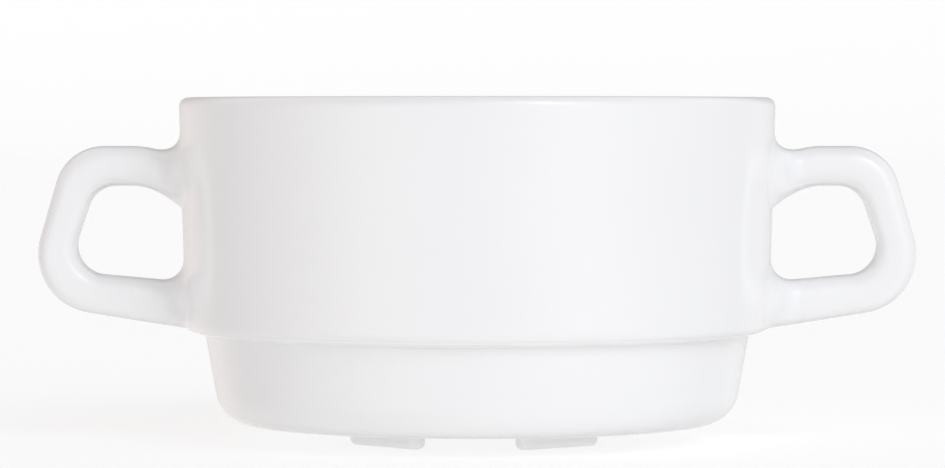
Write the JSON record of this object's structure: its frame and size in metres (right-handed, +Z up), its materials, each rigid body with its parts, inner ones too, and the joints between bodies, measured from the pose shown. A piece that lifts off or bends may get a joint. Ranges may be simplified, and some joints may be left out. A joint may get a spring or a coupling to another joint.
{
  "type": "soup cup",
  "caption": "Round stackable soup cup with a stepped nesting base, two loop handles on opposite sides and bar feet under the base.",
  "frame": {"origin": "on the table, under the cup's axis", "axes": "+Z up along the cup's axis, +X out through the right handle, -Y towards the picture's viewer"},
  "size_m": [0.1474, 0.1, 0.0578],
  "materials": {
    "opal_glass": "glossy white opal glass, fire-polished"
  },
  "bodies": {
    "root": {"bowl": "opal_glass", "left_handle": "opal_glass", "right_handle": "opal_glass", "foot_1": "opal_glass", "foot_2": "opal_glass", "foot_3": "opal_glass", "foot_4": "opal_glass"}
  },
  "joints": []
}
